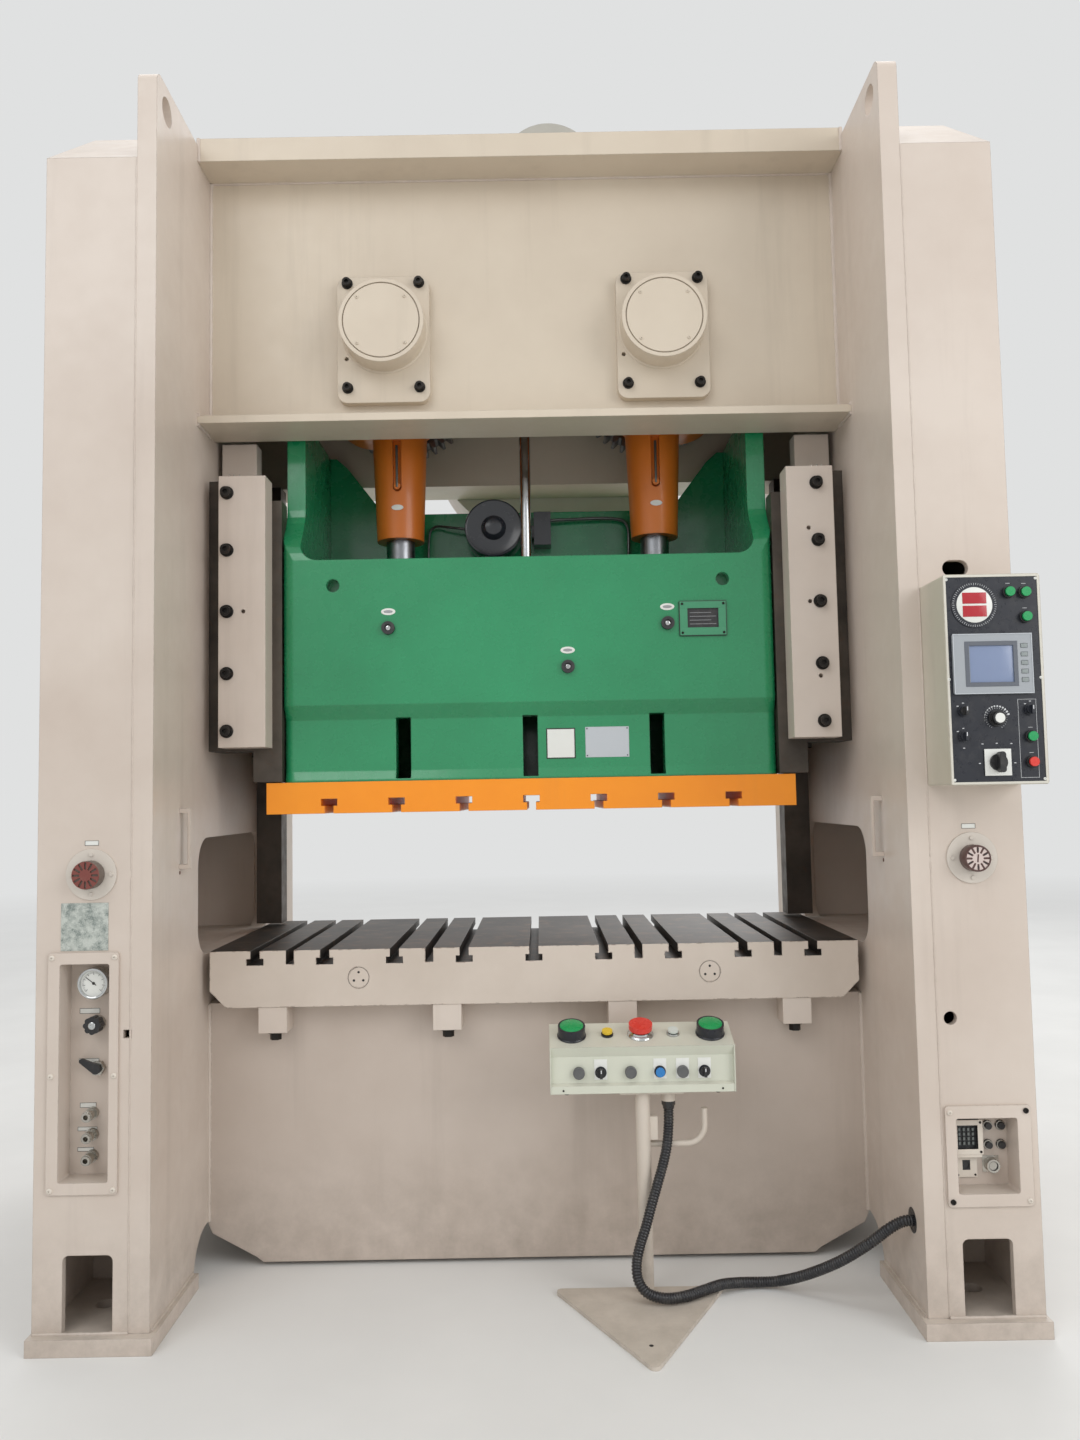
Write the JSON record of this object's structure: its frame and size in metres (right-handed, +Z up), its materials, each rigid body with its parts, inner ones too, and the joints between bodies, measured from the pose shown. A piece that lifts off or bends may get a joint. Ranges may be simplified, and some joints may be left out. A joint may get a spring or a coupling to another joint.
{
  "type": "mechanical stamping press",
  "caption": "Straight-side two-point mechanical stamping press: boxed uprights, crown, bed and T-slotted bolster, guided slide on two rods, control box and two-hand console.",
  "frame": {"origin": "centre of the press on the floor, under the middle of its footprint", "axes": "+Z up, -Y towards the operator at the front, +X to the operator's right"},
  "size_m": [2.422, 1.89, 3.565],
  "materials": {
    "beige_paint": "semi-gloss enamel, slightly dusty",
    "crown_paint": "semi-gloss enamel",
    "bolster_steel": "ground top, painted sides",
    "black_bolts": "black oxide",
    "dark_steel": "oiled dark steel",
    "cylinder_grey": "grey enamel",
    "motor_paint": "grey enamel",
    "belt_rubber": "matt rubber",
    "fitting_metal": "nickel plated",
    "dial_metal": "satin",
    "socket_black": "matt black",
    "box_paint": "pale enamel",
    "face_black": "gloss black panel",
    "screen_frame": "grey bezel",
    "console_paint": "pale cream enamel",
    "stand_paint": "beige enamel",
    "conduit_black": "ribbed black conduit",
    "slide_green": "gloss green enamel",
    "plate_orange": "gloss orange enamel",
    "rod_orange": "orange enamel",
    "bright_steel": "oiled bright steel",
    "chrome_rod": "hard chrome",
    "forged_steel": "machined forging",
    "iron_grey": "machined cast iron",
    "button_green": "gloss",
    "button_red": "gloss",
    "button_yellow": "gloss",
    "lamp_clear": "milky lens",
    "button_blue": "gloss",
    "knob_black": "satin black",
    "dial_red": "dark red",
    "dial_pale": "pale dial with dark marks"
  },
  "bodies": {
    "frame": {"left_upright": "beige_paint", "right_upright": "beige_paint", "crown": "crown_paint", "bed": "beige_paint", "bolster": "bolster_steel", "bolster_clamps": "beige_paint", "frame_bolts": "black_bolts", "gib_seats": "dark_steel", "gib_blocks": "beige_paint", "bearing_covers": "crown_paint", "balance_cylinder": "cylinder_grey", "flywheel_guard": "beige_paint", "main_motor": "motor_paint", "drive_belts": "belt_rubber", "air_panel": "beige_paint", "air_fittings": "fitting_metal", "dial_plates": "dial_metal", "socket_panel": "beige_paint", "panel_sockets": "socket_black", "control_box": "box_paint", "control_face": "face_black", "touch_screen": "screen_frame", "console_box": "console_paint", "console_stand": "stand_paint", "console_conduit": "conduit_black", "console_collars": "face_black"},
    "ram": {"slide_casting": "slide_green", "slide_plate": "plate_orange", "slide_liners": "dark_steel", "connecting_rods": "rod_orange", "adjusting_screws": "bright_steel", "adjust_drive": "socket_black", "balance_rod": "chrome_rod", "slide_fittings": "socket_black"},
    "left_crank": {"left_crank": "forged_steel"},
    "right_crank": {"right_crank": "forged_steel"},
    "idler_shaft": {"idler_shaft": "forged_steel"},
    "drive_shaft": {"drive_shaft": "forged_steel"},
    "flywheel": {"flywheel": "iron_grey"},
    "motor_pulley": {"motor_pulley": "iron_grey"},
    "left_palm_button": {"left_palm_button": "button_green"},
    "right_palm_button": {"right_palm_button": "button_green"},
    "stop_button": {"stop_button": "button_red"},
    "yellow_button": {"yellow_button": "button_yellow"},
    "lamp_button": {"lamp_button": "lamp_clear"},
    "blue_button": {"blue_button": "button_blue"},
    "left_console_selector": {"left_console_selector": "knob_black"},
    "right_console_selector": {"right_console_selector": "knob_black"},
    "left_dial_knob": {"left_dial_knob": "dial_red"},
    "right_dial_knob": {"right_dial_knob": "dial_pale"},
    "regulator_knob": {"regulator_knob": "knob_black"},
    "valve_lever": {"valve_lever": "knob_black"},
    "speed_knob": {"speed_knob": "knob_black"},
    "cam_switch": {"cam_switch": "knob_black"},
    "power_button": {"power_button": "button_green"},
    "mode_button": {"mode_button": "button_green"},
    "reset_button": {"reset_button": "button_green"},
    "group_button": {"group_button": "button_green"},
    "red_button": {"red_button": "button_red"},
    "upper_selector": {"upper_selector": "knob_black"}
  },
  "joints": [
    {"name": "ram_slide", "type": "slide", "parent": "frame", "child": "ram", "axis": [0, 0, 1], "range_m": [0, 0.18]},
    {"name": "left_crank_spin", "type": "hinge", "parent": "frame", "child": "left_crank", "pos_m": [-0.405, 0, 2.66], "axis": [0, 1, 0], "range_deg": [-1, 182]},
    {"name": "right_crank_spin", "type": "hinge", "parent": "frame", "child": "right_crank", "pos_m": [0.405, 0, 2.66], "axis": [0, 1, 0], "range_deg": [-182, 1]},
    {"name": "idler_spin", "type": "hinge", "parent": "frame", "child": "idler_shaft", "pos_m": [-0.09, 0, 2.66], "axis": [0, 1, 0], "range_deg": [-455, 3]},
    {"name": "drive_shaft_spin", "type": "hinge", "parent": "frame", "child": "drive_shaft", "pos_m": [0.09, 0, 2.66], "axis": [0, 1, 0], "range_deg": [-3, 455]},
    {"name": "flywheel_spin", "type": "hinge", "parent": "frame", "child": "flywheel", "pos_m": [0.09, 0.5, 2.66], "axis": [0, 1, 0], "continuous": true},
    {"name": "pulley_spin", "type": "hinge", "parent": "frame", "child": "motor_pulley", "pos_m": [0.09, 0.5, 3.4], "axis": [0, 1, 0], "continuous": true},
    {"name": "left_palm_press", "type": "slide", "parent": "frame", "child": "left_palm_button", "axis": [0, 0.3342, -0.9425], "range_m": [0, 0.008], "stiffness_N_per_m": 900, "springref_m": -0.006},
    {"name": "right_palm_press", "type": "slide", "parent": "frame", "child": "right_palm_button", "axis": [0, 0.3342, -0.9425], "range_m": [0, 0.008], "stiffness_N_per_m": 900, "springref_m": -0.006},
    {"name": "stop_press", "type": "slide", "parent": "frame", "child": "stop_button", "axis": [0, 0.3342, -0.9425], "range_m": [0, 0.006], "stiffness_N_per_m": 900, "springref_m": -0.006},
    {"name": "yellow_press", "type": "slide", "parent": "frame", "child": "yellow_button", "axis": [0, 0.3342, -0.9425], "range_m": [0, 0.0025], "stiffness_N_per_m": 400, "springref_m": -0.003},
    {"name": "lamp_press", "type": "slide", "parent": "frame", "child": "lamp_button", "axis": [0, 0.3342, -0.9425], "range_m": [0, 0.0025], "stiffness_N_per_m": 400, "springref_m": -0.003},
    {"name": "blue_press", "type": "slide", "parent": "frame", "child": "blue_button", "axis": [0, 1, 0], "range_m": [0, 0.003], "stiffness_N_per_m": 400, "springref_m": -0.003},
    {"name": "power_press", "type": "slide", "parent": "frame", "child": "power_button", "axis": [0, 1, 0], "range_m": [0, 0.003], "stiffness_N_per_m": 400, "springref_m": -0.003},
    {"name": "mode_press", "type": "slide", "parent": "frame", "child": "mode_button", "axis": [0, 1, 0], "range_m": [0, 0.003], "stiffness_N_per_m": 400, "springref_m": -0.003},
    {"name": "reset_press", "type": "slide", "parent": "frame", "child": "reset_button", "axis": [0, 1, 0], "range_m": [0, 0.003], "stiffness_N_per_m": 400, "springref_m": -0.003},
    {"name": "group_press", "type": "slide", "parent": "frame", "child": "group_button", "axis": [0, 1, 0], "range_m": [0, 0.003], "stiffness_N_per_m": 400, "springref_m": -0.003},
    {"name": "red_press", "type": "slide", "parent": "frame", "child": "red_button", "axis": [0, 1, 0], "range_m": [0, 0.003], "stiffness_N_per_m": 400, "springref_m": -0.003},
    {"name": "left_selector_turn", "type": "hinge", "parent": "frame", "child": "left_console_selector", "pos_m": [0.17, -0.551, 0.576], "axis": [0, -1, 0], "range_deg": [-45, 45]},
    {"name": "right_selector_turn", "type": "hinge", "parent": "frame", "child": "right_console_selector", "pos_m": [0.44, -0.551, 0.576], "axis": [0, -1, 0], "range_deg": [-45, 45]},
    {"name": "upper_selector_turn", "type": "hinge", "parent": "frame", "child": "upper_selector", "pos_m": [1.014, -0.917, 1.475], "axis": [0, -1, 0], "range_deg": [-45, 45]},
    {"name": "left_dial_turn", "type": "hinge", "parent": "frame", "child": "left_dial_knob", "pos_m": [-1.073, -0.764, 1.125], "axis": [0, -1, 0], "range_deg": [-150, 150]},
    {"name": "right_dial_turn", "type": "hinge", "parent": "frame", "child": "right_dial_knob", "pos_m": [1.077, -0.764, 1.127], "axis": [0, -1, 0], "range_deg": [-150, 150]},
    {"name": "regulator_turn", "type": "hinge", "parent": "frame", "child": "regulator_knob", "pos_m": [-1.079, -0.698, 0.756], "axis": [0, -1, 0], "range_deg": [-150, 150]},
    {"name": "valve_turn", "type": "hinge", "parent": "frame", "child": "valve_lever", "pos_m": [-1.075, -0.698, 0.648], "axis": [0, -1, 0], "range_deg": [-90, 0]},
    {"name": "speed_turn", "type": "hinge", "parent": "frame", "child": "speed_knob", "pos_m": [1.09, -0.912, 1.457], "axis": [0, -1, 0], "range_deg": [-150, 150]},
    {"name": "cam_switch_turn", "type": "hinge", "parent": "frame", "child": "cam_switch", "pos_m": [1.088, -0.915, 1.355], "axis": [0, -1, 0], "range_deg": [-60, 60]}
  ],
  "couplings": [
    {"joint": "left_crank_spin", "follows": "ram_slide", "rad_per_m": 17.453},
    {"joint": "right_crank_spin", "follows": "ram_slide", "rad_per_m": -17.453},
    {"joint": "idler_spin", "follows": "ram_slide", "rad_per_m": -43.633},
    {"joint": "drive_shaft_spin", "follows": "ram_slide", "rad_per_m": 43.633},
    {"joint": "pulley_spin", "follows": "flywheel_spin", "ratio": 4.6667}
  ]
}
